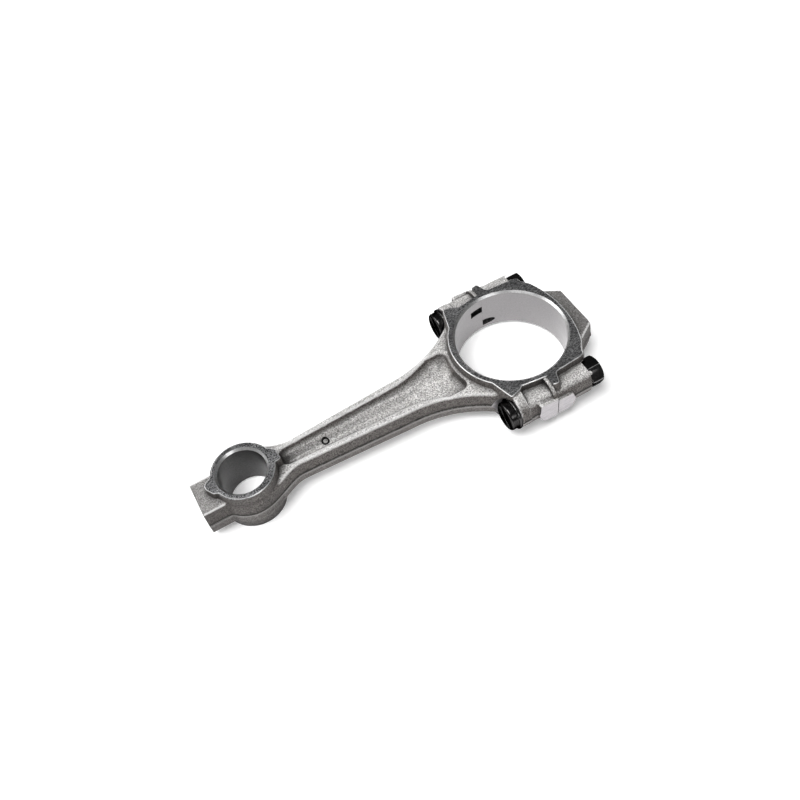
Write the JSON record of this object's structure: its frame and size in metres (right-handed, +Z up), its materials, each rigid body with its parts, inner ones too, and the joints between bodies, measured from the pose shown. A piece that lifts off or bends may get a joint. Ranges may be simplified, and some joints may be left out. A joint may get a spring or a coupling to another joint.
{
  "type": "connecting rod",
  "caption": "Forged I-beam connecting rod with a bolted cap: pin bore at the small end, crank bore at the big end, weight pads at both ends.",
  "frame": {"origin": "middle of the underside of the bounding box of the whole rod, lying flat with its bores upright", "axes": "+X along the rod from the small end to the cap, +Y to the left seen from the small end with the bores upright, +Z up along the bores"},
  "size_m": [0.2224, 0.0892, 0.028],
  "materials": {
    "forged_steel": "shot-blasted forging skin, grey with brownish side walls",
    "machined_steel": "ground thrust faces, honed bores and milled flats",
    "black_oxide": "black oxide with an oily sheen on bolts and nuts"
  },
  "bodies": {
    "rod": {"rod_body": "forged_steel", "bolt_left": "black_oxide", "bolt_right": "black_oxide"},
    "cap": {"rod_cap": "forged_steel"},
    "left_nut": {"nut_left": "black_oxide"},
    "right_nut": {"nut_right": "black_oxide"}
  },
  "joints": [
    {"name": "cap_pull", "type": "slide", "parent": "rod", "child": "cap", "axis": [1, 0, 0], "range_m": [0, 0.04]},
    {"name": "nut_left_run", "type": "slide", "parent": "cap", "child": "left_nut", "axis": [1, 0, 0], "range_m": [0, 0.015]},
    {"name": "nut_right_run", "type": "slide", "parent": "cap", "child": "right_nut", "axis": [1, 0, 0], "range_m": [0, 0.015]}
  ]
}
